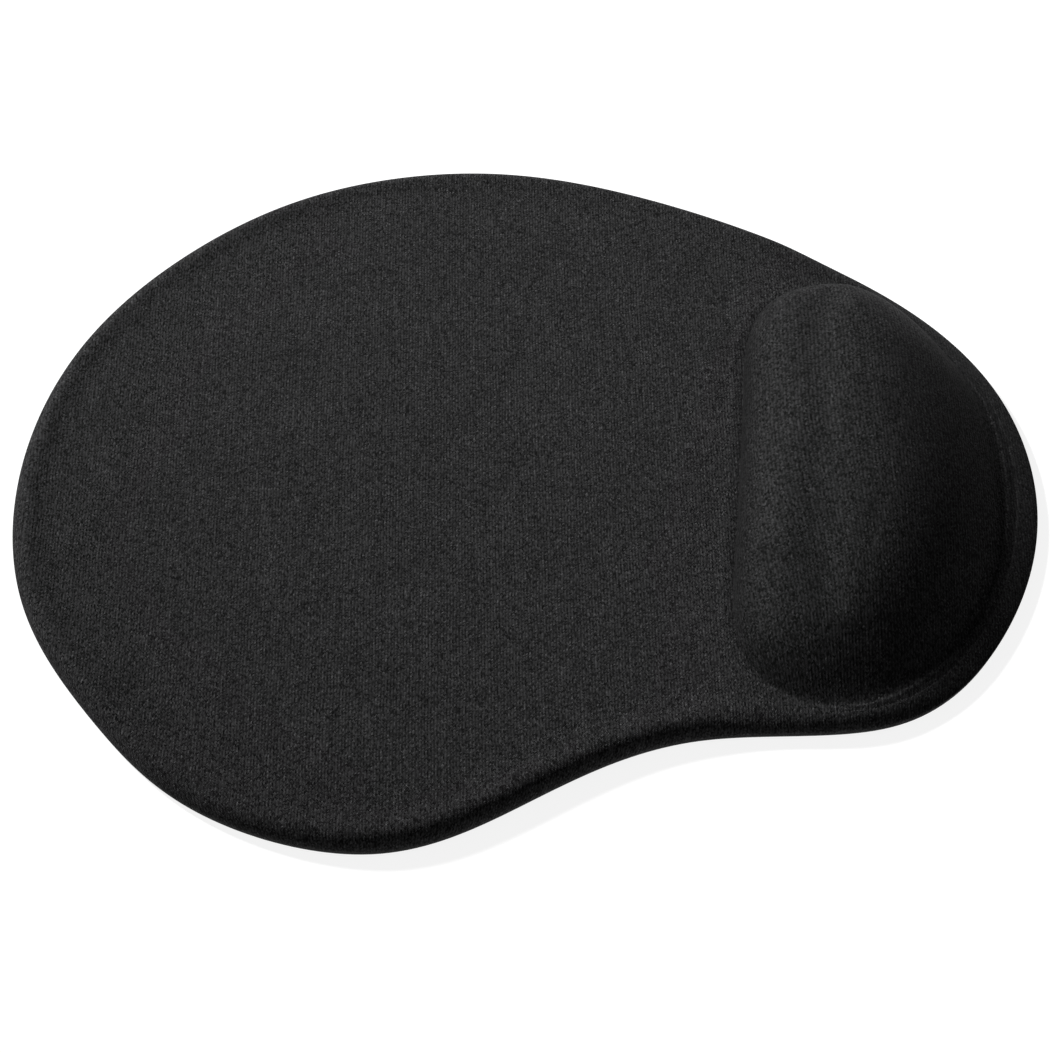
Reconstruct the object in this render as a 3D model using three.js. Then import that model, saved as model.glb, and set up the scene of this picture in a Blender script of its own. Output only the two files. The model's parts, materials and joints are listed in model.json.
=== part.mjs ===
// Mouse pad with a built-in gel wrist rest, in millimetres.
// X runs across the user, +Y points away from the user, +Z is up and the desk is z = 0.
// The pad is a laminate: base sheet, glue film, foam board, gel pouch, glue film and stretched cover.
import * as THREE from 'three';

// Driving dimensions
const RIM_TOP = 5.5; // height of the flat mousing surface
const DOME_RISE = 19; // how far the wrist rest stands above that surface
const DOME_END_DROP = 0.2; // share of the rise that the crest loses towards its two ends
const LAYER_GAP = 0.1; // air left between two bonded layers
const FOAM_CLEARANCE = 0.2; // air left between the lower glue film and the foam

const COVER_THICKNESS = 0.8;
const GLUE_THICKNESS = 0.2;
const POUCH_TOP_THICKNESS = 0.4;
const POUCH_BASE_THICKNESS = 0.3;
const BASE_THICKNESS = 1.15;
const GEL_CLEARANCE = 0.3;
const SPAN_STEPS = 4; // straight pieces in each stretch of an outline

// Between its foot (ring 0) and its crest (ring 1) a flank climbs as (1 - (1 - ring) ^ round) ^ steep
const FRONT_FLANK = { round: 1.6, steep: 0.38 }; // a steep wall up to a shoulder
const BACK_FLANK = { round: 1.6, steep: 0.95 }; // a plain convex slope, also at the left end
const RIGHT_STEEP = 0.65; // the right end is steeper than the back
const BACK_FILLET = 0.05; // how far the back's slope takes to ease out of the flat, as a ring position
const HOLLOW = { depth: 0.11, ring: 0.58, width: 0.2 }; // shallow hollow between front shoulder and crest

// Outline of the pad: control points of a closed cubic B-spline, anticlockwise from the wrist edge
const PAD_OUTLINE = [
  [-1, -128], [40, -119], [69, -94], [89, -58], [103.5, -18], [109.6, 22], [97, 67], [68, 99], [34, 120],
  [-8, 127], [-51, 119], [-82.5, 93], [-106, 69], [-117, 21], [-92, -11], [-69.3, -44], [-71.4, -95], [-40, -118],
];

// Foot of the wrist rest, a rounded D with its straight side towards the mouse
const DOME_FOOT = [
  [4, -118], [32, -114], [53, -101], [75, -76], [61, -50], [28, -52], [0, -52], [-26, -52], [-57, -52],
  [-69, -80], [-49, -105], [-24, -115],
];

// The crest is a shallow arc, bowed towards the user and turned a little
const CREST_MIDDLE = [13, -85];
const CREST_HALF_LENGTH = 41;
const CREST_BOW = 6;
const CREST_TURN = 4.5; // how much further from the user its right end lies than its middle

// How far each ring of the wrist rest lies along the way from its foot to its crest
const DOME_RINGS = [0, 0.02, 0.05, 0.1, 0.18, 0.3, 0.46, 0.66, 0.84, 0.96];
const POUCH_RING = 1; // the pouch starts one ring in from the foot
const GEL_RING = 2;
const GEL_WALL = 0.06; // ring position of the gel's side wall

// Rim sections as [inset from the outline, height], from the underside up to the flat top
const COVER_OUTER = [
  [0.6, 1.25], [0.1, 1.8], [0, 2.5], [0.2, 3.4], [0.8, 4.3], [1.8, 4.95], [3, 5.37], [4.3, 5.5],
];
const COVER_INNER = [
  [1.4, 1.25], [0.95, 1.8], [0.8, 2.5], [1, 3.15], [1.6, 3.8], [2.6, 4.35], [4.3, 4.7],
];
const FOAM_RIM = [[1.7, 1.65], [1.2, 2.1], [1.15, 2.7], [1.4, 3.2], [2.1, 3.72], [3, 4.05], [4.3, 4.3]];
const BASE_RIM = [[1.1, 0], [0.6, 0.2], [0.45, 0.65], [0.6, 1.15]];
const GLUE_INSET = 1.75; // the lower glue film stops just inside the cover's tucked edge
const FILM_INSET = 3.6; // the upper glue film stops where the cover starts to roll over
const FLAT_INSET = 4.3;
const FILM_EDGE_DROP = 0.15; // the upper glue film's edge dips with the cover

// Heights of the flat layers
const COVER_UNDER = RIM_TOP - COVER_THICKNESS;
const FILM_TOP = COVER_UNDER - LAYER_GAP;
const FILM_UNDER = FILM_TOP - GLUE_THICKNESS;
const FOAM_TOP = FILM_UNDER - LAYER_GAP;
const POUCH_TOP = FOAM_TOP;
const POUCH_UNDER = POUCH_TOP - POUCH_TOP_THICKNESS;
const GEL_TOP = POUCH_UNDER - GEL_CLEARANCE;
const GLUE_UNDER = BASE_THICKNESS + LAYER_GAP;
const GLUE_TOP = GLUE_UNDER + GLUE_THICKNESS;
const FOAM_UNDER = GLUE_TOP + FOAM_CLEARANCE;
const POUCH_BASE_UNDER = FOAM_UNDER;
const POUCH_BASE_TOP = POUCH_BASE_UNDER + POUCH_BASE_THICKNESS;
const SKIRT_UNDER = POUCH_BASE_TOP + LAYER_GAP;

// Points of a closed cubic B-spline with the given control points
function splineLoop(control) {
  const loop = [];
  control.forEach((_, i) => {
    const [a, b, c, d] = [-1, 0, 1, 2].map((k) => control[(i + k + control.length) % control.length]);
    for (let step = 0; step < SPAN_STEPS; step += 1) {
      const t = step / SPAN_STEPS;
      const late = 1 - t;
      const weights = [late ** 3, 3 * t ** 3 - 6 * t ** 2 + 4, 3 * late ** 3 - 6 * late ** 2 + 4, t ** 3];
      const point = new THREE.Vector2();
      [a, b, c, d].forEach((p, k) => point.addScaledVector(new THREE.Vector2(...p), weights[k] / 6));
      loop.push(point);
    }
  });
  return loop;
}

// The loop moved inwards by a distance, along the normal at each point
function insetLoop(loop, inset) {
  return loop.map((p, i) => {
    const before = loop[(i - 1 + loop.length) % loop.length];
    const after = loop[(i + 1) % loop.length];
    const along = after.clone().sub(before).normalize();
    return new THREE.Vector2(p.x - along.y * inset, p.y + along.x * inset);
  });
}

const rawOutline = splineLoop(PAD_OUTLINE);
const centre = new THREE.Box2().setFromPoints(rawOutline).getCenter(new THREE.Vector2());
const outline = rawOutline.map((p) => p.clone().sub(centre));
const foot = splineLoop(DOME_FOOT).map((p) => p.sub(centre));
const crestMiddle = new THREE.Vector2(...CREST_MIDDLE).sub(centre);
const footHalfLength = Math.max(...foot.map((p) => Math.abs(p.x - crestMiddle.x)));

// Place along the crest, from -1 to 1, that a foot point leads up to
const crestPlace = (p) => (p.x - crestMiddle.x) / footHalfLength;

function crestPoint(p) {
  const place = crestPlace(p);
  const x = crestMiddle.x + place * CREST_HALF_LENGTH;
  return new THREE.Vector2(x, crestMiddle.y + CREST_BOW * place ** 2 + CREST_TURN * place);
}

// Height of the wrist rest's surface above its foot, on the way from a foot point to the crest
function domeHeight(footPoint, ring) {
  const away = footPoint.clone().sub(crestPoint(footPoint)).normalize();
  const front = THREE.MathUtils.smoothstep(away.y, 0, 1);
  const right = THREE.MathUtils.smoothstep(away.x, 0, 1) * (1 - front);
  const fillet = BACK_FILLET * (1 - front) * (1 - right);
  const eased = Math.hypot(ring, fillet) - fillet;
  const round = THREE.MathUtils.lerp(BACK_FLANK.round, FRONT_FLANK.round, front);
  const backSteep = THREE.MathUtils.lerp(BACK_FLANK.steep, RIGHT_STEEP, right);
  const steep = THREE.MathUtils.lerp(backSteep, FRONT_FLANK.steep, front);
  const flank = (1 - (1 - eased) ** round) ** steep;
  const hollow = HOLLOW.depth * front * Math.exp(-(((ring - HOLLOW.ring) / HOLLOW.width) ** 2));
  const crestRise = DOME_RISE * (1 - DOME_END_DROP * crestPlace(footPoint) ** 2);
  return crestRise * (flank - hollow);
}

// Collects the loops of one closed solid and joins them with walls and flat fills
class Solid {
  constructor() {
    this.points = [];
    this.triangles = [];
  }

  // Adds a loop, whose height is one number or a function of the point's index
  loop(points, height) {
    const first = this.points.length;
    points.forEach((p, i) => {
      this.points.push(new THREE.Vector3(p.x, p.y, typeof height === 'function' ? height(i) : height));
    });
    return points.map((_, i) => first + i);
  }

  // Adds a triangle, turned over where the surface faces the other way
  face(a, b, c, turned) {
    this.triangles.push(turned ? [a, c, b] : [a, b, c]);
  }

  // Wall between two loops of equal length, facing outwards when upper lies above lower. A turned wall
  // faces the other way on the same diagonals, so nested layers never cross.
  wall(lower, upper, turned = false) {
    lower.forEach((a, i) => {
      const next = (i + 1) % lower.length;
      this.face(a, lower[next], upper[next], turned);
      this.face(a, upper[next], upper[i], turned);
    });
  }

  // Walls through a list of loops, in order
  walls(loops, turned = false) {
    loops.slice(1).forEach((upper, i) => this.wall(loops[i], upper, turned));
  }

  // Fills a loop, round an optional hole, facing up or down
  fill(loop, facingUp, hole = []) {
    const flat = (indices) => indices.map((i) => new THREE.Vector2(this.points[i].x, this.points[i].y));
    const all = [...loop, ...hole];
    THREE.ShapeUtils.triangulateShape(flat(loop), hole.length ? [flat(hole)] : []).forEach((face) => {
      const [a, b, c] = face.map((k) => all[k]);
      this.face(a, b, c, !facingUp);
    });
  }

  // The flat surface inside the rim's last loop, with the wrist rest raised in it
  domedSurface(rimLoop, footHeight, facingUp) {
    const rings = DOME_RINGS.map((_, k) => this.domeRing(k, footHeight));
    this.fill(rimLoop, facingUp, rings[0]);
    this.closeDome(rings, facingUp);
  }

  domeRing(k, footHeight) {
    return this.ringAt(DOME_RINGS[k], footHeight);
  }

  ringAt(ring, footHeight) {
    const points = foot.map((p) => p.clone().lerp(crestPoint(p), ring));
    return this.loop(points, (i) => footHeight + domeHeight(foot[i], ring));
  }

  closeDome(rings, facingUp) {
    this.walls(rings, !facingUp);
    this.fill(rings.at(-1), facingUp);
  }

  mesh(name, material) {
    const geometry = new THREE.BufferGeometry().setFromPoints(this.points);
    geometry.setIndex(this.triangles.flat());
    geometry.computeVertexNormals();
    const mesh = new THREE.Mesh(geometry, material);
    mesh.name = name;
    return mesh;
  }
}

const rimLoops = (solid, section) => section.map(([inset, z]) => solid.loop(insetLoop(outline, inset), z));

const surface = (color, roughness) => new THREE.MeshStandardMaterial({ color, roughness, metalness: 0 });
const coverKnit = surface(0x2b2b2b, 0.92);
const glueFilm = surface(0xd8d2c0, 0.4);
const foam = surface(0x3a3a3c, 0.95);
const pouchFilm = surface(0xc9d4da, 0.25);
const gel = surface(0x9fc4d4, 0.15);
const baseRubber = surface(0x1c1c1d, 0.75);

// One-piece stretch cover: flat top, wrist rest and rolled rim with its edge tucked over the base
function coverFabric() {
  const solid = new Solid();
  const outer = rimLoops(solid, COVER_OUTER);
  const inner = rimLoops(solid, COVER_INNER);
  solid.wall(inner[0], outer[0]);
  solid.walls(outer);
  solid.domedSurface(outer.at(-1), RIM_TOP, true);
  solid.walls(inner, true);
  solid.domedSurface(inner.at(-1), COVER_UNDER, false);
  return solid.mesh('cover_fabric', coverKnit);
}

// Hot-melt film that bonds the cover to the foam and to the gel pouch
function coverGlueFilm() {
  const solid = new Solid();
  const edge = insetLoop(outline, FILM_INSET);
  const flatEdge = insetLoop(outline, FLAT_INSET);
  const lower = [solid.loop(edge, FILM_UNDER - FILM_EDGE_DROP), solid.loop(flatEdge, FILM_UNDER)];
  const upper = [solid.loop(edge, FILM_TOP - FILM_EDGE_DROP), solid.loop(flatEdge, FILM_TOP)];
  solid.wall(lower[0], lower[1], true);
  solid.wall(lower[0], upper[0]);
  solid.wall(upper[0], upper[1]);
  solid.domedSurface(upper[1], FILM_TOP, true);
  solid.domedSurface(lower[1], FILM_UNDER, false);
  return solid.mesh('cover_glue_film', glueFilm);
}

// Foam board with a D-shaped window for the gel pouch
function foamBoard() {
  const solid = new Solid();
  const rim = rimLoops(solid, FOAM_RIM);
  const windowUnder = solid.loop(foot, FOAM_UNDER);
  const windowTop = solid.loop(foot, FOAM_TOP);
  solid.fill(rim[0], false, windowUnder);
  solid.walls(rim);
  solid.fill(rim.at(-1), true, windowTop);
  solid.wall(windowTop, windowUnder);
  return solid.mesh('foam_board', foam);
}

// Moulded upper film of the gel pouch, with a skirt that drops into the foam's window
function gelPouchTop() {
  const solid = new Solid();
  const outerRings = DOME_RINGS.slice(POUCH_RING).map((_, k) => solid.domeRing(k + POUCH_RING, POUCH_TOP));
  const innerRings = DOME_RINGS.slice(GEL_RING).map((_, k) => solid.domeRing(k + GEL_RING, POUCH_UNDER));
  const skirt = (ring) => solid.loop(foot.map((p) => p.clone().lerp(crestPoint(p), ring)), SKIRT_UNDER);
  const outerSkirt = skirt(DOME_RINGS[POUCH_RING]);
  const innerSkirt = skirt(DOME_RINGS[GEL_RING]);
  solid.wall(innerSkirt, outerSkirt);
  solid.wall(outerSkirt, outerRings[0]);
  solid.closeDome(outerRings, true);
  solid.wall(innerRings[0], innerSkirt);
  solid.closeDome(innerRings, false);
  return solid.mesh('gel_pouch_top', pouchFilm);
}

// The gel that fills the pouch
function gelCore() {
  const solid = new Solid();
  const wallPoints = foot.map((p) => p.clone().lerp(crestPoint(p), GEL_WALL));
  const under = solid.loop(wallPoints, SKIRT_UNDER);
  const inward = DOME_RINGS.slice(GEL_RING + 1).map((_, k) => solid.domeRing(k + GEL_RING + 1, GEL_TOP));
  const rings = [solid.ringAt(GEL_WALL, GEL_TOP), ...inward];
  solid.fill(under, false);
  solid.wall(under, rings[0]);
  solid.closeDome(rings, true);
  return solid.mesh('gel_core', gel);
}

// A flat sheet of the given outline
function flatSheet(name, material, loop, under, top) {
  const solid = new Solid();
  const lower = solid.loop(loop, under);
  const upper = solid.loop(loop, top);
  solid.fill(lower, false);
  solid.wall(lower, upper);
  solid.fill(upper, true);
  return solid.mesh(name, material);
}

function gelPouchBase() {
  const loop = foot.map((p) => p.clone().lerp(crestPoint(p), DOME_RINGS[POUCH_RING]));
  return flatSheet('gel_pouch_base', pouchFilm, loop, POUCH_BASE_UNDER, POUCH_BASE_TOP);
}

function baseGlueFilm() {
  return flatSheet('base_glue_film', glueFilm, insetLoop(outline, GLUE_INSET), GLUE_UNDER, GLUE_TOP);
}

// Non-slip sheet that grips the desk
function baseSheet() {
  const solid = new Solid();
  const rim = rimLoops(solid, BASE_RIM);
  solid.fill(rim[0], false);
  solid.walls(rim);
  solid.fill(rim.at(-1), true);
  return solid.mesh('base_sheet', baseRubber);
}

const wristRest = new THREE.Group();
wristRest.name = 'wrist_rest';
wristRest.add(coverFabric(), coverGlueFilm(), foamBoard(), gelPouchTop(), gelCore(), gelPouchBase());
wristRest.add(baseGlueFilm(), baseSheet());

export default wristRest;
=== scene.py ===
"""Looks of a mouse pad with a built-in gel wrist rest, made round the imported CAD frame, in metres."""

import json
import math

import bpy
import numpy as np
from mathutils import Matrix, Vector, geometry


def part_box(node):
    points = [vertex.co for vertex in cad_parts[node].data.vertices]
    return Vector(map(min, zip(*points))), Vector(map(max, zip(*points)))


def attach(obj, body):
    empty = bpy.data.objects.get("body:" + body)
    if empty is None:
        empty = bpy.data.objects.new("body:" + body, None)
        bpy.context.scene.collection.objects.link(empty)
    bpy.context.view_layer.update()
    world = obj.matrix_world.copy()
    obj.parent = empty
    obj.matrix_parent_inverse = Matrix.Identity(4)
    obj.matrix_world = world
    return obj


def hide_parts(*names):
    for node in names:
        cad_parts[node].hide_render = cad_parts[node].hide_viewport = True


MM = 0.001

# Places taken from the frame
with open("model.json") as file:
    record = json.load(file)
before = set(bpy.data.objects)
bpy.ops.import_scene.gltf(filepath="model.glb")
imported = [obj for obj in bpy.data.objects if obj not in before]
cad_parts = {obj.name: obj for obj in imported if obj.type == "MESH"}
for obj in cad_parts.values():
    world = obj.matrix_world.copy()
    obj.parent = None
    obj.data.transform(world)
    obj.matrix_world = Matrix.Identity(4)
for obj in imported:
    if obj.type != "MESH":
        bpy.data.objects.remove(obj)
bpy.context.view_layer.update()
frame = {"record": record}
COVER_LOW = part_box("cover_fabric")[0].z
GLUE_LOW, GLUE_HIGH = (corner.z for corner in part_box("base_glue_film"))
FOAM_LOW, FOAM_HIGH = (corner.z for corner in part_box("foam_board"))
POUCH_BASE_LOW, POUCH_BASE_HIGH = (corner.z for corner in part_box("gel_pouch_base"))
MOUNT_PLACES = {mount["name"]: mount["pos_m"] for mount in frame["record"]["mounts"]}
PAD_TOP = MOUNT_PLACES["mousing_face"][2]

# Outline of the pad and foot of the wrist rest, as the closed B-splines that the CAD part uses, in mm
PAD_OUTLINE = [
    (-1, -128), (40, -119), (69, -94), (89, -58), (103.5, -18), (109.6, 22), (97, 67), (68, 99), (34, 120),
    (-8, 127), (-51, 119), (-82.5, 93), (-106, 69), (-117, 21), (-92, -11), (-69.3, -44), (-71.4, -95),
    (-40, -118),
]
DOME_FOOT = [
    (4, -118), (32, -114), (53, -101), (75, -76), (61, -50), (28, -52), (0, -52), (-26, -52), (-57, -52),
    (-69, -80), (-49, -105), (-24, -115),
]

# Crest and flanks of the wrist rest, as in the CAD part
CREST_MIDDLE = (13, -85)  # in mm
CREST_HALF_LENGTH = 41 * MM
CREST_BOW = 6 * MM
CREST_TURN = 4.5 * MM
DOME_RISE = 19 * MM
DOME_END_DROP = 0.2
FRONT_ROUND, FRONT_STEEP = 1.6, 0.38
BACK_ROUND, BACK_STEEP = 1.6, 0.95
RIGHT_STEEP = 0.65
HOLLOW_DEPTH, HOLLOW_RING, HOLLOW_WIDTH = 0.11, 0.58, 0.2

# Softer than in the CAD part, as shares of the way from foot to crest
BACK_FILLET = 0.07
CREST_ROUND = 0.12
LAST_RING = 0.975  # where the rings end and a strip along the crest closes the dome

# Thicknesses and heights of the layers
COVER_THICKNESS = 0.8 * MM
FILM_THICKNESS = 0.2 * MM
FILM_TOP = PAD_TOP - COVER_THICKNESS - 0.1 * MM
FILM_UNDER = FILM_TOP - FILM_THICKNESS
FILM_INSET = 3.6 * MM
FILM_EDGE = 0.5 * MM
FILM_EDGE_DROP = 0.15 * MM
POUCH_FILM = 0.4 * MM
POUCH_SKIRT_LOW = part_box("gel_pouch_top")[0].z
GEL_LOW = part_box("gel_core")[0].z
GEL_FLAT = FOAM_HIGH - 0.7 * MM
GEL_EDGE = 0.8 * MM
LOWER_FILM_INSET = 1.75 * MM
FOAM_INSET = 1.15 * MM
FOAM_WAIST_Z = 2.6 * MM
FOAM_TUCK = 0.6 * MM
FOAM_RIM_SHORTER = 0.7 * MM  # how much narrower the foam's rolled rim is than the cover's

# Rim, flange and lip, which only the looks have in such detail
COLUMNS = 360  # points round each loop
RIM_INSET = 3.8 * MM
RIM_EXTRA = 5 * MM  # how much wider the rim rolls on the narrow flange
RIM_SHARE = 0.62  # the most of the flange that the rim may take
RIM_WAIST_Z = 2.5 * MM
RIM_TUCK = 0.6 * MM
ROLL_EASE = 0.4  # the cloth's way down the rim counts less by this share of the roll's width
RIM_FLATTENING = 0.85  # how far the rim's roll turns into a straight slope behind the wrist rest
REAR_DROOP = 0.9 * MM  # how far the flange behind the wrist rest slopes down to its rim
LIP_DROOP_SHARE = 0.55  # the part of that slope that lies within the lip
NARROW_FLANGE = 7 * MM
FLANGE_BLEND = 12 * MM
FACING_BACK = 0.7  # outline normals that point further back than this have the full slope
EDGE_WIDTH = 6 * MM
EDGE_SHARE = 0.04  # what is left of the edge zone on the narrow flange, as a share of the flange
BEAD_HEIGHT = 0.6 * MM  # the rim stands a little above the flat area
BEAD_WIDTH = 3 * MM
LIP_WIDTH = 5 * MM
LIP_SHARE = 0.2  # the most of the flange that the lip may take
LIP_HEIGHT, LIP_PLACE, LIP_SPREAD = 0.15 * MM, 2.6 * MM, 1.1 * MM
GROOVE_DEPTH, GROOVE_SPREAD = 0.25 * MM, 0.9 * MM

# How much darker the knit is made: 0 as it came, 1 stretched over the gel or in painted shadow on the rear
# flange, 2 stretched with painted shade in the crease at the front foot
CREASE_SHADE_UP, CREASE_SHADE_OUT = 0.13, 0.7 * MM  # reach of the painted crease shade up the front flank and out from the foot
BACK_LIGHTENING_UP, BACK_LIGHTENING_OUT = 0.12, 2 * MM  # the same for the painted light that lightens the knit along the back foot

# Studs under the base
GRIP_STEP = 1.6 * MM
GRIP_MARGIN = 2.4 * MM
GRIP_BEVEL = 0.3 * MM
GRIP_HEIGHT = 0.35 * MM
GRIP_REACH = 0.2  # half the side of the square that the studs are laid out on, in metres
BASE_EDGE = [  # inset and height up the edge of the base sheet, in mm
    (1.1, 0.0), (0.75, 0.08), (0.6, 0.2), (0.48, 0.45), (0.45, 0.7), (0.5, 1.0), (0.75, 1.15),
]

# The knit
SKEW = math.radians(-6)  # it is laid on slightly askew
WALE_PITCH = 0.73 * MM
COURSE_PITCH = 0.39 * MM
STITCH_SLANT = 1.6
WANDER = 0.6 * MM  # how far the ribs stray


# ---------------------------------------------------------------- curves

def spline_loop(control, steps):
    """Points of a closed cubic B-spline, as an array of rows (x, y)."""
    control = np.array(control, float)
    t = (np.arange(steps) / steps)[:, None]
    weights = [(1 - t) ** 3, 3 * t**3 - 6 * t**2 + 4, -3 * t**3 + 3 * t**2 + 3 * t + 1, t**3]
    spans = []
    for i in range(len(control)):
        corners = [control[(i + k) % len(control)] for k in (-1, 0, 1, 2)]
        spans.append(sum(w * p for w, p in zip(weights, corners)) / 6)
    return np.vstack(spans)


def evenly_spaced(loop, count):
    """The closed loop again, with points at equal steps along it."""
    closed = np.vstack([loop, loop[:1]])
    length = np.r_[0, np.cumsum(np.hypot(*np.diff(closed, axis=0).T))]
    at = np.linspace(0, length[-1], count, endpoint=False)
    return np.column_stack([np.interp(at, length, closed[:, k]) for k in (0, 1)])


def outward(loop):
    """Unit normals of an anticlockwise loop, pointing out of it."""
    along = np.roll(loop, -1, 0) - np.roll(loop, 1, 0)
    along /= np.linalg.norm(along, axis=1)[:, None]
    return np.column_stack([along[:, 1], -along[:, 0]])


def where_rays_cross(centre, points, loop):
    """Where the rays from the centre through each point cross a loop round it."""
    angles = np.arctan2(*(loop - centre).T[::-1])
    order = np.argsort(angles)
    radii = np.linalg.norm(loop - centre, axis=1)
    wanted = np.arctan2(*(points - centre).T[::-1])
    radius = np.interp(wanted, angles[order], radii[order], period=2 * math.pi)
    return centre + radius[:, None] * np.column_stack([np.cos(wanted), np.sin(wanted)])


def smooth(t):
    """0 below 0, 1 above 1, and an even blend between them."""
    t = np.clip(t, 0, 1)
    return t * t * (3 - 2 * t)


coarse = spline_loop(PAD_OUTLINE, 4)
CENTRE = (coarse.min(0) + coarse.max(0)) / 2
OUTLINE = evenly_spaced(spline_loop(PAD_OUTLINE, 40), COLUMNS)
OUTLINE = (OUTLINE - CENTRE) * MM
CREST = (np.array(CREST_MIDDLE) - CENTRE) * MM
FOOT_CURVE = (spline_loop(DOME_FOOT, 60) - CENTRE) * MM
FOOT = where_rays_cross(CREST, OUTLINE, FOOT_CURVE)
FOOT_HALF_LENGTH = np.abs(FOOT_CURVE[:, 0] - CREST[0]).max()
FOOT_OUT = outward(FOOT)
RIM_OUT = outward(OUTLINE)


def even_out(values):
    """Each value averaged with its neighbours round the loop."""
    return sum(np.roll(values, k) for k in range(-4, 5)) / 9


def room_between(points, curve):
    """Distance from each point to the nearest of every fourth point of a curve."""
    return np.min(np.linalg.norm(points[:, None] - curve[None, ::4], axis=2), axis=1)


FLANGE = room_between(OUTLINE, FOOT_CURVE)
FOOT_ROOM = room_between(FOOT, (spline_loop(PAD_OUTLINE, 40) - CENTRE) * MM)
WIDE = smooth((FLANGE - NARROW_FLANGE) / FLANGE_BLEND)  # 0 on the narrow flange, 1 beside the mousing area
WIDE_AT_FOOT = smooth((FOOT_ROOM - NARROW_FLANGE) / FLANGE_BLEND)
RIM_WIDTH = even_out(np.minimum(RIM_INSET + RIM_EXTRA * (1 - WIDE), RIM_SHARE * FLANGE))
EDGE_SCALE = even_out(np.minimum(1, EDGE_SHARE * FLANGE / EDGE_WIDTH + WIDE))
LIP_SCALE = even_out(np.minimum(1, LIP_SHARE * FOOT_ROOM / LIP_WIDTH))
SLOPED = even_out((1 - WIDE) * smooth(-RIM_OUT[:, 1] / FACING_BACK))  # 1 on the sloping rear flange
RIM_ROUND = 2 - RIM_FLATTENING * SLOPED  # 2 is an ellipse, less is nearer to a straight slope
RIM_DROOP = REAR_DROOP * SLOPED
LIP_DROOP = LIP_DROOP_SHARE * RIM_DROOP

PLACE = (FOOT[:, 0] - CREST[0]) / FOOT_HALF_LENGTH  # -1 to 1 along the wrist rest
CREST_POINTS = CREST + np.column_stack([PLACE * CREST_HALF_LENGTH, CREST_BOW * PLACE**2 + CREST_TURN * PLACE])
TOWARDS_FOOT = (FOOT - CREST_POINTS) / np.linalg.norm(FOOT - CREST_POINTS, axis=1)[:, None]
FRONT = smooth(TOWARDS_FOOT[:, 1])
RIGHT = smooth(TOWARDS_FOOT[:, 0]) * (1 - FRONT)
# Painted light: the knit is made lighter along the back foot, against the shade in the crease there.
BACK_FOOT_LIGHTENING = smooth(-TOWARDS_FOOT[:, 1]) * (1 - smooth(-TOWARDS_FOOT[:, 0]))  # 1 along the back foot
CREST_RISE = DOME_RISE * (1 - DOME_END_DROP * PLACE**2)


def rim_loop(inset):
    """The outline moved inwards, by one distance or by one for each point."""
    return OUTLINE - RIM_OUT * np.reshape(inset, (-1, 1))


def lip_loop(distance):
    """The foot moved outwards, less far where the flange is narrow."""
    return FOOT + FOOT_OUT * (distance * LIP_SCALE)[:, None]


def dome_ring(ring):
    """The loop that lies the given share of the way from the foot to the crest."""
    return FOOT + (CREST_POINTS - FOOT) * ring


def dome_height(ring):
    """Height of that loop above the foot: a steep front with a shoulder and hollow, and a rounded back."""
    fillet = BACK_FILLET * (1 - FRONT) * (1 - RIGHT)
    eased = np.hypot(ring, fillet) - fillet
    roundness = BACK_ROUND + (FRONT_ROUND - BACK_ROUND) * FRONT
    steepness = BACK_STEEP + (RIGHT_STEEP - BACK_STEEP) * RIGHT
    steepness += (FRONT_STEEP - steepness) * FRONT
    below_crest = np.hypot(1 - eased, CREST_ROUND) - CREST_ROUND
    below_crest /= math.hypot(1, CREST_ROUND) - CREST_ROUND
    flank = (1 - below_crest**roundness) ** steepness
    hollow = HOLLOW_DEPTH * FRONT * math.exp(-(((ring - HOLLOW_RING) / HOLLOW_WIDTH) ** 2))
    return CREST_RISE * (flank - hollow)


# ---------------------------------------------------------------- mesh making

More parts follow.
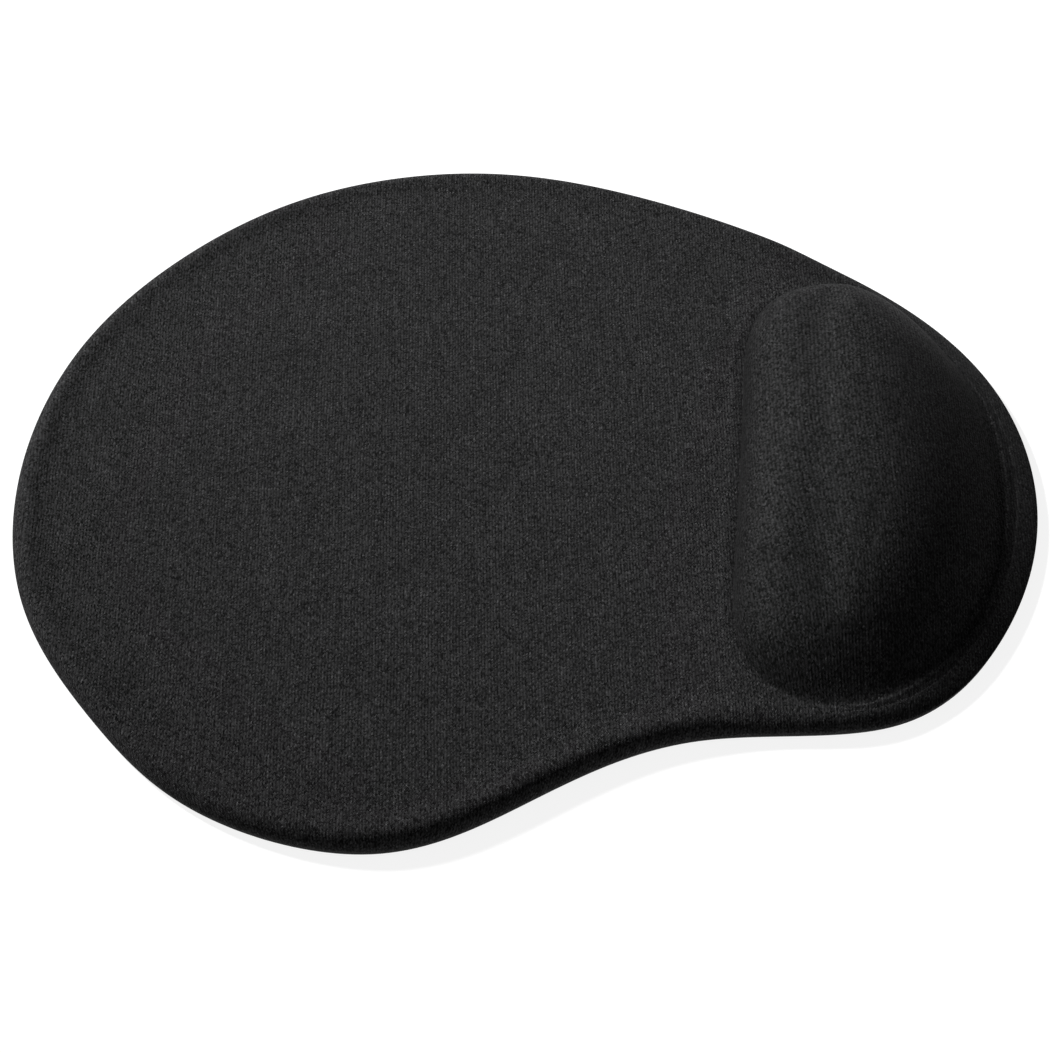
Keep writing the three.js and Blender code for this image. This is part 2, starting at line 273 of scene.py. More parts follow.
class Skin:
    """Collects loops of points and the quads between them, for one closed mesh."""

    def __init__(self):
        self.places = []
        self.cloth = []
        self.stretch_and_shade = []
        self.faces = []
        self.count = 0

    def loop(self, xy, z, cloth=None, stretch_and_shade=0.0):
        """Adds a loop. cloth is where its points lay on the flat cloth, and the last argument how much darker
        the knit is made there, 0 to 2, as stretched knit and as painted shade.
        """
        xy = np.asarray(xy, float)
        heights = np.broadcast_to(z, len(xy))
        self.places.append(np.column_stack([xy, heights]))
        self.cloth.append(xy if cloth is None else cloth)
        self.stretch_and_shade.append(np.broadcast_to(stretch_and_shade, len(xy)))
        first = self.count
        self.count += len(xy)
        return np.arange(first, self.count)

    def wall(self, lower, upper, turned=False):
        """Joins two loops with a band of quads."""
        quads = np.column_stack([lower, np.roll(lower, -1), np.roll(upper, -1), upper])
        self.faces += (quads[:, ::-1] if turned else quads).tolist()

    def walls(self, loops, turned=False):
        """Joins each loop to the next."""
        for lower, upper in zip(loops, loops[1:]):
            self.wall(lower, upper, turned)

    def fill(self, loops, turned=False):
        """Fills the space inside the first loop and outside any others, with triangles."""
        xy = np.vstack(self.places)
        rows = [[Vector((*xy[i, :2], 0)) for i in loop] for loop in loops]
        index = np.concatenate(loops)
        for triangle in geometry.tessellate_polygon(rows):
            a, b, c = (int(index[k]) for k in triangle)
            ab, ac = xy[b] - xy[a], xy[c] - xy[a]
            facing_up = ab[0] * ac[1] - ab[1] * ac[0] > 0
            self.faces.append((a, b, c) if facing_up != turned else (a, c, b))

    def zip_crest(self, loop, turned=False):
        """Closes the last loop of the dome with a strip of triangles from its front to its back chain."""
        left, right = int(np.argmin(PLACE)), int(np.argmax(PLACE))
        back = [loop[(left + k) % COLUMNS] for k in range((right - left) % COLUMNS + 1)]
        front = [loop[(left - k) % COLUMNS] for k in range((left - right) % COLUMNS + 1)]
        where = np.vstack(self.places)[:, 0]
        i = j = 0
        while i < len(back) - 1 or j < len(front) - 1:
            back_left, front_left = i < len(back) - 1, j < len(front) - 1
            step_back = not front_left or (back_left and where[back[i + 1]] < where[front[j + 1]])
            a, b = back[i], front[j]
            c = back[i + 1] if step_back else front[j + 1]
            i, j = (i + 1, j) if step_back else (i, j + 1)
            if len({a, b, c}) == 3:
                self.faces.append((a, b, c) if turned else (a, c, b))

    def dome_shell(self, inner, outer):
        """Closes a shell from its inner and outer loops, each of which ends in the crest's last ring."""
        self.walls(outer)
        self.zip_crest(outer[-1])
        self.walls(inner, turned=True)
        self.zip_crest(inner[-1], turned=True)
        self.wall(inner[0], outer[0])

    def mesh_object(self, name):
        """The mesh as a new object, with the cloth's places and how much darker its knit is made, as
        stretched knit and as painted shade, as attributes.
        """
        mesh = bpy.data.meshes.new(name)
        mesh.from_pydata(np.vstack(self.places).tolist(), [], self.faces)
        cloth = mesh.attributes.new("cloth", "FLOAT_VECTOR", "POINT")
        flat = np.column_stack([np.vstack(self.cloth), np.zeros(self.count)])
        cloth.data.foreach_set("vector", flat.ravel())
        stretch_and_shade = mesh.attributes.new("stretch_and_shade", "FLOAT", "POINT")
        stretch_and_shade.data.foreach_set("value", np.concatenate(self.stretch_and_shade))
        mesh.polygons.foreach_set("use_smooth", [True] * len(mesh.polygons))
        mesh.update()
        piece = bpy.data.objects.new(name, mesh)
        bpy.context.scene.collection.objects.link(piece)
        return piece


DOME_STEPS = np.linspace(0, 1, 36)
DOME_RINGS = LAST_RING * (0.25 * DOME_STEPS + 0.75 * DOME_STEPS**2.4)  # closest together at the foot
DOME_PLACES = np.array([np.column_stack([dome_ring(ring), dome_height(ring)]) for ring in DOME_RINGS])
DOME_SPANS = np.linalg.norm(np.diff(DOME_PLACES, axis=0), axis=2)
CLIMBED = np.vstack([np.zeros(COLUMNS), np.cumsum(DOME_SPANS, axis=0)])


def cloth_ring(ring):
    """Where the cloth of a ring lay before it was stretched, which is even along the way up."""
    climbed = np.array([np.interp(ring, DOME_RINGS, way) for way in (CLIMBED / CLIMBED[-1]).T])
    return dome_ring((climbed * DOME_RINGS[-1])[:, None])


def dome_loops(skin, foot_z, rings=DOME_RINGS, swell=None):
    """Loops from the foot to the crest. swell moves each point, as the cloth simulation says."""
    loops = []
    for k, ring in enumerate(rings):
        xy, z = dome_ring(ring), foot_z + dome_height(ring)
        if swell is not None:
            xy, z = xy + swell[k][:, :2], z + swell[k][:, 2]
        # Painted shade in the crease at the front foot, and painted light along the back foot; 1 elsewhere is
        # the knit stretched over the gel.
        crease_shade = FRONT * math.exp(-((ring / CREASE_SHADE_UP) ** 2))
        back_lightening = BACK_FOOT_LIGHTENING * math.exp(-((ring / BACK_LIGHTENING_UP) ** 2))
        loops.append(skin.loop(xy, z, cloth=cloth_ring(ring), stretch_and_shade=1 + crease_shade - back_lightening))
    return loops


def lip_profile(distance):
    """Height of the pad's surface beside the foot, at a distance out from it: a groove, then a low lip."""
    groove = -GROOVE_DEPTH * (1 - FRONT) * WIDE_AT_FOOT * math.exp(-((distance / GROOVE_SPREAD) ** 2))
    lip = LIP_HEIGHT * math.exp(-(((distance - LIP_PLACE) / LIP_SPREAD) ** 2))
    return (groove + lip) * LIP_SCALE


def bead_profile(distance):
    """Height of the rim's bead over the flat area, at a distance in from its top."""
    return BEAD_HEIGHT * WIDE * math.exp(-((distance / BEAD_WIDTH) ** 2))


EDGE_DISTANCES = np.linspace(0, EDGE_WIDTH, 13)
LIP_DISTANCES = np.array([5, 4.2, 3.6, 3.1, 2.6, 2.2, 1.8, 1.45, 1.1, 0.8, 0.5, 0.25, 0]) * MM
FLAT_STEPS = 12


def flat_loops(skin, rim_inset, z, relief):
    """Loops from the rim's flat edge to the foot of the wrist rest, across the mousing area.

    relief is 1 for a surface with the rim's bead and the lip, and 0 for one without them."""
    loops = []
    # Painted shadow: on the sloping rear flange (SLOPED) the knit is made darker, here and in the loops
    # below.
    for distance in EDGE_DISTANCES:
        edge = rim_loop(rim_inset + distance * EDGE_SCALE)
        loops.append(skin.loop(edge, z - RIM_DROOP + relief * bead_profile(distance), stretch_and_shade=SLOPED))
    near = lip_loop(LIP_WIDTH)
    for share in np.arange(1, FLAT_STEPS) / FLAT_STEPS:
        height = z - RIM_DROOP + (RIM_DROOP - LIP_DROOP) * share
        loops.append(skin.loop(edge + (near - edge) * share, height, stretch_and_shade=SLOPED))
    for distance in LIP_DISTANCES:
        # Painted shade in the crease round the foot, darkest at the front and lightened with painted light at
        # the back, then the painted shadow of the rear flange.
        foot_crease_shade = (1 + FRONT - BACK_FOOT_LIGHTENING) * math.exp(-((distance / CREASE_SHADE_OUT) ** 2))
        flange_shade = SLOPED * (1 - BACK_FOOT_LIGHTENING * math.exp(-((distance / BACK_LIGHTENING_OUT) ** 2)))
        height = z - LIP_DROOP * (distance / LIP_WIDTH) ** 2 + relief * lip_profile(distance)
        loops.append(skin.loop(lip_loop(distance), height, stretch_and_shade=np.maximum(foot_crease_shade, flange_shade)))
    return loops


def rim_roll(angle, inset, waist, lower, upper):
    """Inset and height at an angle round a rolled rim.

    waist is the height of its widest point. lower and upper give the reach and end height of each half."""
    if angle > 0:
        reach, end, power = upper[0], upper[1] - RIM_DROOP, 2 / RIM_ROUND
    else:
        reach, end, power = *lower, 1
    inset = inset + reach * (1 - math.cos(angle) ** power)
    return inset, waist + (end - waist) * abs(math.sin(angle)) ** power


def rim_arc(skin, width, top_z, offset, steps=12):
    """Loops round the rolled rim, from the tucked edge up to the flat top. offset moves them inwards."""
    loops = []
    for angle in np.linspace(-math.pi / 2, math.pi / 2, 2 * steps + 1)[:-1]:
        inset, z = rim_roll(angle, offset, RIM_WAIST_Z, (RIM_TUCK, COVER_LOW), (width - offset, top_z))
        unrolled = ROLL_EASE * (width - inset) - (top_z - z)
        # Painted shadow: the knit on the rolled rim of the sloping rear flange is made darker.
        loops.append(skin.loop(rim_loop(inset), z, cloth=rim_loop(inset + unrolled), stretch_and_shade=SLOPED))
    return loops


# ---------------------------------------------------------------- cloth simulation

SWELL_LIMIT = 0.9 * MM
SIM_COLUMNS = slice(0, COLUMNS, 3)
SIM_FRAMES = 20


def press_out(patch, held):
    """Presses a patch of cloth outwards with its held points pinned, and returns where its points end up."""
    pinned = patch.vertex_groups.new(name="pinned")
    pinned.add(held, 1.0, "REPLACE")
    cloth = patch.modifiers.new("cloth", "CLOTH")
    cloth.settings.vertex_group_mass = "pinned"
    cloth.settings.quality = 6
    cloth.settings.mass = 0.15
    cloth.settings.tension_stiffness = cloth.settings.compression_stiffness = 40
    cloth.settings.bending_stiffness = 2
    cloth.settings.use_pressure = True
    cloth.settings.uniform_pressure_force = 4
    cloth.settings.effector_weights.gravity = 0
    cloth.point_cache.frame_end = SIM_FRAMES
    scene = bpy.context.scene
    for step in range(1, SIM_FRAMES + 1):
        scene.frame_set(step)
    settled = patch.evaluated_get(bpy.context.evaluated_depsgraph_get())
    after = np.array([v.co[:] for v in settled.data.vertices])
    scene.frame_set(1)
    return after


def cover_swell():
    """How far the stretched cover stands out over the gel, for each ring and column of the dome.

    A coarse copy of the cover over the wrist rest is pinned along its foot and pressed outwards as cloth."""
    skin = Skin()
    rings = DOME_RINGS[::2]
    loops = [skin.loop(dome_ring(r)[SIM_COLUMNS], PAD_TOP + dome_height(r)[SIM_COLUMNS]) for r in rings]
    skin.walls(loops)
    skin.fill([loops[-1]])
    patch = skin.mesh_object("cover_patch")
    moved = press_out(patch, loops[0].tolist()) - np.vstack(skin.places)
    moved = moved.reshape(len(rings), -1, 3)
    bpy.data.objects.remove(patch)
    length = np.linalg.norm(moved, axis=2, keepdims=True)
    moved *= np.minimum(1, SWELL_LIMIT / np.maximum(length, 1e-9))
    columns = np.arange(COLUMNS)
    known = columns[SIM_COLUMNS]
    wide = np.array([
        [np.interp(columns, known, row[:, k], period=COLUMNS) for k in range(3)] for row in moved
    ])
    full = [[np.interp(DOME_RINGS, rings, wide[:, k, c]) for c in range(COLUMNS)] for k in range(3)]
    return np.transpose(full, (2, 1, 0))


DOME_SWELL = cover_swell()


# ---------------------------------------------------------------- pieces

POUCH_RING, GEL_RING = 3, 7  # the dome's rings where the pouch and the gel begin


def cover_fabric():
    """The elastic cover: a closed thin shell, open underneath where its edge is tucked over the base."""
    skin = Skin()
    outer = rim_arc(skin, RIM_WIDTH, PAD_TOP + bead_profile(0), 0)
    outer += flat_loops(skin, RIM_WIDTH, PAD_TOP, 1)
    outer += dome_loops(skin, PAD_TOP, swell=DOME_SWELL)[1:]
    inner = rim_arc(skin, RIM_WIDTH, PAD_TOP - COVER_THICKNESS, COVER_THICKNESS)
    inner += flat_loops(skin, RIM_WIDTH, PAD_TOP - COVER_THICKNESS, 0)
    inner += dome_loops(skin, PAD_TOP - COVER_THICKNESS)[1:]
    skin.dome_shell(inner, outer)
    return skin.mesh_object("stretch_cover")


def upper_glue_film():
    """Thin film between the cover and what it covers, which dips a little along its edge."""
    skin = Skin()
    flat_edge = np.maximum(RIM_WIDTH, FILM_INSET + FILM_EDGE)
    edge = rim_loop(flat_edge - FILM_EDGE)
    sides = []
    for z in (FILM_UNDER, FILM_TOP):
        loops = [skin.loop(edge, z - RIM_DROOP - FILM_EDGE_DROP), *flat_loops(skin, flat_edge, z, 0)]
        sides.append(loops + dome_loops(skin, z)[1:])
    skin.dome_shell(*sides)
    return skin.mesh_object("upper_glue_film")


def foam_board():
    """Soft board with rounded rim and a D-shaped window for the gel pouch."""
    skin = Skin()
    lower, upper = (FOAM_TUCK, FOAM_LOW), (RIM_WIDTH - FOAM_RIM_SHORTER, FOAM_HIGH)
    rim = []
    for angle in np.linspace(-math.pi / 2, math.pi / 2, 19):
        inset, z = rim_roll(angle, FOAM_INSET, FOAM_WAIST_Z, lower, upper)
        rim.append(skin.loop(rim_loop(inset), z))
    window = [skin.loop(FOOT, z) for z in np.linspace(FOAM_HIGH, FOAM_LOW, 5)]
    skin.walls(rim)
    skin.walls(window)
    skin.fill([rim[-1], window[0]])
    skin.fill([rim[0], window[-1]], turned=True)
    return skin.mesh_object("foam_board_detailed")


def pouch_top():
    """Moulded film over the gel, with a skirt that drops into the foam's window."""
    skin = Skin()
    outer_rings, inner_rings = DOME_RINGS[POUCH_RING:], DOME_RINGS[POUCH_RING + 3:]
    outer = [skin.loop(dome_ring(outer_rings[0]), z) for z in (POUCH_SKIRT_LOW, FOAM_HIGH)]
    outer += dome_loops(skin, FOAM_HIGH, outer_rings)
    inner = [skin.loop(dome_ring(inner_rings[0]), z) for z in (POUCH_SKIRT_LOW, FOAM_HIGH - POUCH_FILM)]
    inner += dome_loops(skin, FOAM_HIGH - POUCH_FILM, inner_rings)
    skin.dome_shell(inner, outer)
    return skin.mesh_object("pouch_top_film")


def gel_core():
    """The gel that fills the pouch, with its lower edge rounded."""
    skin = Skin()
    rings = DOME_RINGS[GEL_RING:]
    wall = dome_ring(rings[0])
    loops = []
    for angle in np.linspace(0, math.pi / 2, 6):
        xy = wall - TOWARDS_FOOT * GEL_EDGE * (1 - math.sin(angle))
        loops.append(skin.loop(xy, GEL_LOW + GEL_EDGE * (1 - math.cos(angle))))
    loops += dome_loops(skin, GEL_FLAT, rings)
    skin.fill([loops[0]], turned=True)
    skin.walls(loops)
    skin.zip_crest(loops[-1])
    return skin.mesh_object("gel_cushion")


def flat_film(name, loop, inward, under, top):
    """A flat film with a softened edge. inward is the unit direction into it at each point."""
    skin = Skin()
    round_off = (top - under) / 3
    loops = [
        skin.loop(loop + inward * round_off, under),
        skin.loop(loop, under + round_off),
        skin.loop(loop, top - round_off),
        skin.loop(loop + inward * round_off, top),
    ]
    skin.fill([loops[0]], turned=True)
    skin.walls(loops)
    skin.fill([loops[-1]])
    return skin.mesh_object(name)


def grip_lattice():
    """Points of a triangular lattice inside the pad, and which of them are the tips of grip studs."""
    step = np.array([[GRIP_STEP, 0], [GRIP_STEP / 2, GRIP_STEP * math.sqrt(3) / 2]])
    reach = int(GRIP_REACH / GRIP_STEP)
    i, j = (grid.ravel() for grid in np.meshgrid(np.arange(-reach, reach), np.arange(-reach, reach)))
    points = np.column_stack([i, j]) @ step
    edge = where_rays_cross(CREST, points, OUTLINE)
    room = np.linalg.norm(edge - CREST, axis=1) - np.linalg.norm(points - CREST, axis=1)
    inside = room > GRIP_MARGIN + GRIP_STEP
    return points[inside], ((i - j) % 3 == 0)[inside]


def base_sheet():
    """Non-slip sheet. Its underside is recessed inside a plain border, with small studs down to the desk."""
    skin = Skin()
    field = rim_loop(GRIP_MARGIN + GRIP_BEVEL)
    loops = [skin.loop(field, GRIP_HEIGHT), skin.loop(rim_loop(GRIP_MARGIN), 0)]
    loops += [skin.loop(rim_loop(inset * MM), z * MM) for inset, z in BASE_EDGE]
    skin.walls(loops)
    skin.fill([loops[-1]])
    points, tips = grip_lattice()
    inner = skin.loop(points, np.where(tips, 0, GRIP_HEIGHT))
    every = [Vector(p) for p in np.vstack([field, points]).tolist()]
    ring = [(k, (k + 1) % COLUMNS) for k in range(COLUMNS)]
    triangles = geometry.delaunay_2d_cdt(every, ring, [], 1, 1e-7)[2]
    index = np.concatenate([loops[0], inner])
    skin.faces += [tuple(int(index[k]) for k in reversed(triangle)) for triangle in triangles]
    return skin.mesh_object("grip_base")


# ---------------------------------------------------------------- materials

# Lit and shaded yarn: the yarn's tops take the lighter colour as a painted highlight, its furrows the darker
# one as painted shade.
YARN_SHADED = (0.0060, 0.0060, 0.0062, 1)
YARN_LIT = (0.0180, 0.0180, 0.0183, 1)
SPECK_TONES = (0.1, 1.65)  # darkest and lightest stitch, as shares of the yarn's colour
PAINTED_GLINT = 2.0  # how bright the painted glints on the few lightest stitches are
STRETCH_AND_SHADE_TONE = 0.70  # the knit is darker where stretched over the gel; the same tone paints shade in the foot's crease and shadow on the rear flange


class Nodes:
    """Short calls for building a node tree."""

    def __init__(self, name):
        self.material = bpy.data.materials.new(name)
        self.material.use_nodes = True
        self.tree = self.material.node_tree
        self.shader = self.tree.nodes["Principled BSDF"]

    def add(self, kind, inputs=(), **settings):
        """A new node, with its sockets and its settings filled in."""
        node = self.tree.nodes.new("ShaderNode" + kind)
        for key, value in settings.items():
            setattr(node, key, value)
        for key, value in dict(inputs).items():
            self.put(value, node.inputs[key])
        return node

    def put(self, value, socket):
        """Links a socket to another one, or sets it to a value."""
        if isinstance(value, bpy.types.NodeSocket):
            self.tree.links.new(value, socket)
        else:
            socket.default_value = value

    def math(self, operation, *values):
        """The result of a Math node."""
        node = self.add("Math", dict(enumerate(values)), operation=operation)
        return node.outputs[0]

    def vector(self, operation, first, second):
        """The result of a Vector Math node on two vectors."""
        return self.add("VectorMath", {0: first, 1: second}, operation=operation).outputs[0]

    def noise(self, vector, scale, detail=2.0, roughness=0.5):
        """A smooth noise, mostly between 0.3 and 0.7."""
        inputs = {"Vector": vector, "Scale": scale, "Detail": detail, "Roughness": roughness}
        return self.add("TexNoise", inputs).outputs["Fac"]

    def remap(self, value, low, high, to_low, to_high):
        """A value moved from one range to another, and held inside it."""
        inputs = {"Value": value, 1: low, 2: high, 3: to_low, 4: to_high}
        return self.add("MapRange", inputs).outputs[0]

    def mix(self, share, first, second):
        """A colour the given share of the way from the first to the second."""
        inputs = {0: share, 6: first, 7: second}
        return self.add("Mix", inputs, data_type="RGBA").outputs[2]

    def bump(self, height, distance, strength=1.0, normal=None):
        """A normal bumped by a height. distance is in metres, normal an earlier bump under this one."""
        inputs = {"Height": height, "Distance": distance, "Strength": strength}
        if normal is not None:
            inputs["Normal"] = normal
        return self.add("Bump", inputs).outputs["Normal"]

    def finish(self, **sockets):
        """Fills the shader's sockets, named with _ for a space, and returns the material."""
        for name, value in sockets.items():
            self.put(value, self.shader.inputs[name.replace("_", " ")])
        return self.material


def knit_stitches(n, laid):
    """V-shaped stitches in ribs: the height of the yarn, and two chance numbers for each stitch."""
    parts = n.add("SeparateXYZ", {"Vector": laid})
    rib = n.math("DIVIDE", parts.outputs["Y"], WALE_PITCH)
    row = n.math("DIVIDE", parts.outputs["X"], COURSE_PITCH)
    across = n.math("ABSOLUTE", n.math("SUBTRACT", n.math("FRACT", rib), 0.5))
    slanted = n.math("ADD", row, n.math("MULTIPLY", across, STITCH_SLANT))
    stitch = n.math("SINE", n.math("MULTIPLY", slanted, 2 * math.pi))
    furrow = n.math("SINE", n.math("MULTIPLY", n.math("FRACT", rib), math.pi))
    yarn = n.math("MULTIPLY", n.math("POWER", furrow, 0.6), n.remap(stitch, -1, 1, 0.35, 1.0))
    height = n.math("MULTIPLY", yarn, n.math("SUBTRACT", 1.0, n.math("MULTIPLY", across, 0.9)))
    half_rib = n.math("FLOOR", n.math("MULTIPLY", rib, 2.0))
    cell = n.add("CombineXYZ", {0: half_rib, 1: n.math("FLOOR", slanted)})
    chance = n.add("TexWhiteNoise", {"Vector": cell.outputs[0]}, noise_dimensions="3D")
    other = n.add("SeparateXYZ", {"Vector": chance.outputs["Color"]}).outputs["Y"]
    return height, chance.outputs["Value"], other


def knit_material():
    """Fine black elastic knit, each stitch a little lighter or darker than the next, with painted glints,
    painted highlights on the yarn tops and painted shade in their furrows.
    """
    n = Nodes("black_knit")
    cloth = n.add("Attribute", attribute_name="cloth").outputs["Vector"]
    stretch_and_shade = n.add("Attribute", attribute_name="stretch_and_shade").outputs["Fac"]
    laid = n.add("VectorRotate", {"Vector": cloth, "Angle": SKEW}, rotation_type="Z_AXIS").outputs[0]
    wander = n.add("TexNoise", {"Vector": laid, "Scale": 90.0, "Detail": 1.0}).outputs["Color"]
    laid = n.vector("ADD", laid, n.vector("MULTIPLY", wander, (WANDER, WANDER, 0)))
    height, speck, other = knit_stitches(n, laid)
    # Painted glints: a few stitches are made much lighter in colour.
    painted_glint = n.math("MULTIPLY", n.math("POWER", other, 14.0), PAINTED_GLINT)
    cloud = n.noise(laid, 60.0, 4.0)
    streak = n.noise(n.vector("MULTIPLY", laid, (60.0, 1100.0, 1)), 1.0, 2.0)
    tone = n.math("ADD", n.remap(speck, 0, 1, *SPECK_TONES), painted_glint)
    for share in (
        n.remap(cloud, 0.3, 0.7, 0.92, 1.08),
        n.remap(streak, 0.3, 0.7, 0.86, 1.14),
        # Darker where stretched over the gel, and painted shade in the foot's crease and painted shadow on
        # the rear flange.
        n.remap(stretch_and_shade, 0, 2, 1.0, 2 * STRETCH_AND_SHADE_TONE - 1),
    ):
        tone = n.math("MULTIPLY", tone, share)
    # Painted highlight on the yarn's tops and painted shade in its furrows.
    base = n.mix(height, YARN_SHADED, YARN_LIT)
    colour = n.add("VectorMath", {0: base, "Scale": tone}, operation="SCALE").outputs[0]
    rough = n.remap(speck, 0, 1, 0.90, 0.68)
    normal = n.bump(height, 0.0001, 0.7, n.bump(cloud, 0.0004, 0.3))
    return n.finish(
        Base_Color=colour, Roughness=rough, Normal=normal, Specular_IOR_Level=0.04,
        Sheen_Weight=0.01, Sheen_Roughness=0.45, Sheen_Tint=(0.8, 0.8, 0.82, 1),
    )


def glue_material(name):
    """Milky hot-melt film with the faint net it was laid down in."""
    n = Nodes(name)
    place = n.add("TexCoord").outputs["Object"]
    net = n.add("TexVoronoi", {"Vector": place, "Scale": 900.0}, feature="DISTANCE_TO_EDGE")
    strands = n.remap(net.outputs["Distance"], 0.0, 0.25, 1.0, 0.0)
    cloud = n.noise(place, 120.0, 3.0)
    thin = n.mix(cloud, (0.52, 0.48, 0.38, 1), (0.66, 0.62, 0.53, 1))
    colour = n.mix(strands, thin, (0.80, 0.77, 0.69, 1))
    rough = n.remap(cloud, 0.3, 0.7, 0.32, 0.52)
    return n.finish(
        Base_Color=colour, Roughness=rough, Normal=n.bump(strands, 0.00005, 0.6),
        Transmission_Weight=0.25, Specular_IOR_Level=0.5,
    )


def foam_material():
    """Charcoal foam: dark open cells of uneven size, with paler walls between them."""
    n = Nodes("charcoal_foam")
    place = n.add("TexCoord").outputs["Object"]
    cells = n.add("TexVoronoi", {"Vector": place, "Scale": 1500.0}, feature="F1").outputs["Distance"]
    coarse = n.add("TexVoronoi", {"Vector": place, "Scale": 520.0}, feature="F1").outputs["Distance"]
    pores = n.math("MINIMUM", n.remap(cells, 0.0, 0.6, 0.0, 1.0), n.remap(coarse, 0.0, 0.25, 0.2, 1.0))
    cloud = n.noise(place, 45.0, 4.0)
    wall = n.mix(cloud, (0.040, 0.040, 0.043, 1), (0.062, 0.062, 0.066, 1))
    colour = n.mix(pores, (0.010, 0.010, 0.011, 1), wall)
    rough = n.remap(cloud, 0.3, 0.7, 0.88, 0.98)
    return n.finish(
        Base_Color=colour, Roughness=rough, Normal=n.bump(pores, 0.0002, 0.8), Specular_IOR_Level=0.3,
    )


def pouch_material(name):
    """Clear flexible film with shallow creases and a slight haze."""
    n = Nodes(name)
    place = n.add("TexCoord").outputs["Object"]
    creases = n.noise(place, 140.0, 4.0, 0.6)
    haze = n.noise(place, 30.0, 2.0)
    colour = n.mix(haze, (0.62, 0.70, 0.74, 1), (0.78, 0.84, 0.87, 1))
    rough = n.remap(haze, 0.3, 0.7, 0.08, 0.24)
    return n.finish(
        Base_Color=colour, Roughness=rough, Normal=n.bump(creases, 0.00015, 0.5),
        Transmission_Weight=0.85, IOR=1.46,
    )


def gel_material():
    """Soft translucent gel, blue-grey, with small bubbles and slow swirls."""
    n = Nodes("soft_gel")
    place = n.add("TexCoord").outputs["Object"]
    swirl = n.noise(place, 35.0, 5.0, 0.55)
    spots = n.add("TexVoronoi", {"Vector": place, "Scale": 210.0, "Randomness": 1.0}).outputs["Distance"]
    bubbles = n.remap(spots, 0.08, 0.16, 1.0, 0.0)
    body = n.mix(swirl, (0.22, 0.42, 0.54, 1), (0.36, 0.56, 0.66, 1))
    colour = n.mix(bubbles, body, (0.62, 0.76, 0.82, 1))
    rough = n.remap(swirl, 0.3, 0.7, 0.10, 0.26)
    normal = n.bump(bubbles, 0.0001, 0.4, n.bump(swirl, 0.0003, 0.4))
    return n.finish(
        Base_Color=colour, Roughness=rough, Normal=normal,
        Transmission_Weight=0.55, IOR=1.43, Subsurface_Weight=0.3, Subsurface_Scale=0.006,
    )


def rubber_material():
    """Matt black rubber: a fine pebble grain, dull blotches and stud tips worn a little paler."""
    n = Nodes("grip_rubber")
    place = n.add("TexCoord").outputs["Object"]
    height = n.add("SeparateXYZ", {"Vector": place}).outputs["Z"]
    worn = n.remap(height, 0.0, 0.00012, 1.0, 0.0)
    blotch = n.noise(place, 70.0, 4.0)
    grain = n.add("TexVoronoi", {"Vector": place, "Scale": 2600.0}).outputs["Distance"]
    plain = n.mix(blotch, (0.010, 0.010, 0.0105, 1), (0.019, 0.019, 0.0195, 1))
    paler = n.math("MULTIPLY", worn, n.remap(blotch, 0.35, 0.65, 0.2, 0.9))
    colour = n.mix(paler, plain, (0.040, 0.039, 0.038, 1))
    rough = n.math("SUBTRACT", n.remap(blotch, 0.3, 0.7, 0.72, 0.88), n.math("MULTIPLY", worn, 0.2))
    return n.finish(
        Base_Color=colour, Roughness=rough, Normal=n.bump(grain, 0.00004, 0.5), Specular_IOR_Level=0.4,
    )


# ---------------------------------------------------------------- assembly

def dress(piece, slot, material, *nodes):
    """Gives a piece its material, ties it to the body and lets it stand for CAD nodes."""
    piece.data.materials.clear()
    piece.data.materials.append(material)
    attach(piece, "root")
    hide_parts(*nodes)
    return piece


def assemble():
    """Makes every piece, from the cover down to the base."""
    cover = dress(cover_fabric(), "cover_knit", knit_material(), "cover_fabric")
    dress(upper_glue_film(), "glue_film", glue_material("upper_glue"), "cover_glue_film")
    foam = dress(foam_board(), "foam", foam_material(), "foam_board")
    dress(pouch_top(), "pouch_film", pouch_material("pouch_top"), "gel_pouch_top")
    gel = dress(gel_core(), "gel", gel_material(), "gel_core")
    foot = dome_ring(DOME_RINGS[POUCH_RING])
    pouch_base = flat_film("pouch_base_film", foot, -TOWARDS_FOOT, POUCH_BASE_LOW, POUCH_BASE_HIGH)
    dress(pouch_base, "pouch_film", pouch_material("pouch_base"), "gel_pouch_base")
    lower_film = flat_film("lower_glue_film", rim_loop(LOWER_FILM_INSET), -RIM_OUT, GLUE_LOW, GLUE_HIGH)
    dress(lower_film, "glue_film", glue_material("lower_glue"), "base_glue_film")
    dress(base_sheet(), "base_rubber", rubber_material(), "base_sheet")


assemble()


# ---------------------------------------------------------------- studio

FLOOR_REACH = 3.0
FLOOR_GLOW = 0.86
KEY_PLACE = (1.31, 1.88, 1.47)
KEY_AIM = (0.09, -0.02, 0)
KEY_SIZE = 0.5
KEY_POWER = 3.3
KEY_SPREAD = math.radians(18)
WORLD_LIGHT = 0.16


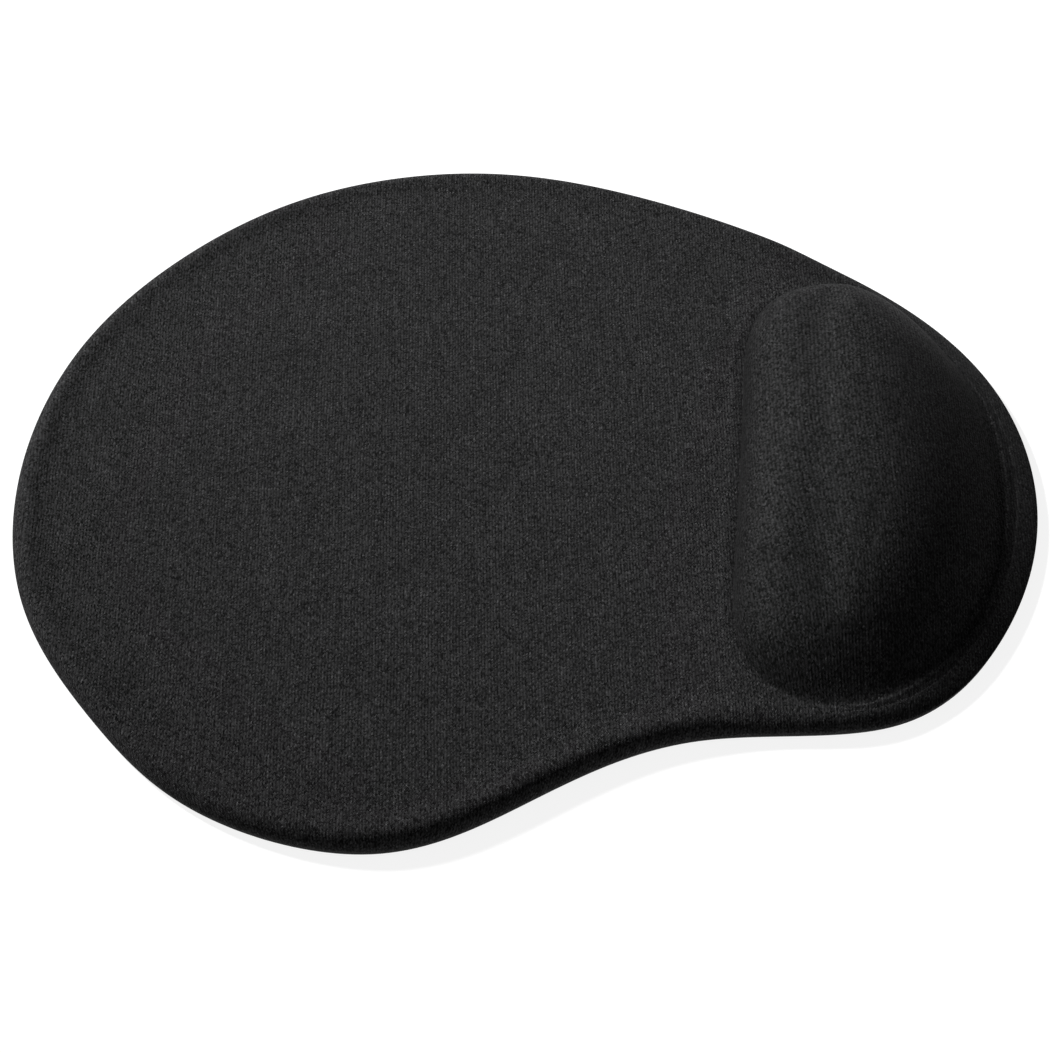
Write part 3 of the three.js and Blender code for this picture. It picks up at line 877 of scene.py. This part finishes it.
def floor():
    """A pale light table: it glows a little, so shadows on it stay faint."""
    mesh = bpy.data.meshes.new("floor")
    corners = [(x * FLOOR_REACH, y * FLOOR_REACH, 0) for x, y in ((-1, -1), (1, -1), (1, 1), (-1, 1))]
    mesh.from_pydata(corners, [], [(0, 1, 2, 3)])
    plane = bpy.data.objects.new("floor", mesh)
    bpy.context.scene.collection.objects.link(plane)
    n = Nodes("floor_paper")
    grain = n.noise(n.add("TexCoord").outputs["Object"], 400.0, 3.0)
    n.finish(
        Base_Color=(0.2, 0.2, 0.2, 1), Roughness=n.remap(grain, 0.3, 0.7, 0.85, 0.95),
        Emission_Color=(1, 1, 1, 1), Emission_Strength=FLOOR_GLOW, Specular_IOR_Level=0.0,
    )
    mesh.materials.append(n.material)


def key_light():
    """One round soft light, narrow enough to leave a soft pool on the pad."""
    light = bpy.data.lights.new("key", "AREA")
    light.shape = "DISK"
    light.size = KEY_SIZE
    light.energy = KEY_POWER
    light.spread = KEY_SPREAD
    lamp = bpy.data.objects.new("key", light)
    lamp.location = KEY_PLACE
    lamp.rotation_euler = (Vector(KEY_AIM) - Vector(KEY_PLACE)).to_track_quat("-Z", "Y").to_euler()
    bpy.context.scene.collection.objects.link(lamp)


def studio():
    """The floor, the key light and a weak even light from all round."""
    floor()
    key_light()
    world = bpy.data.worlds.new("studio")
    world.use_nodes = True
    background = world.node_tree.nodes["Background"]
    background.inputs["Color"].default_value = (1, 1, 1, 1)
    background.inputs["Strength"].default_value = WORLD_LIGHT
    bpy.context.scene.world = world
    bpy.context.scene.view_settings.view_transform = "Standard"


CAMERA_AZIMUTH = math.radians(-85)
CAMERA_ELEVATION = math.radians(50)
CAMERA_DISTANCE = 0.756
CAMERA_LENS = 106.0
CAMERA_AIM = Vector((-0.0095, -0.0008, 0))


def camera():
    """Looks down on the pad from the left, aimed at a point on the desk."""
    data = bpy.data.cameras.new("camera")
    data.lens = CAMERA_LENS
    data.sensor_width = 36.0
    data.clip_start = 0.01
    eye = bpy.data.objects.new("camera", data)
    flat = math.cos(CAMERA_ELEVATION)
    back = Vector((
        math.sin(CAMERA_AZIMUTH) * flat,
        -math.cos(CAMERA_AZIMUTH) * flat,
        math.sin(CAMERA_ELEVATION),
    ))
    eye.location = CAMERA_AIM + back * CAMERA_DISTANCE
    eye.rotation_euler = (-back).to_track_quat("-Z", "Y").to_euler()
    bpy.context.scene.collection.objects.link(eye)
    bpy.context.scene.camera = eye


studio()
camera()
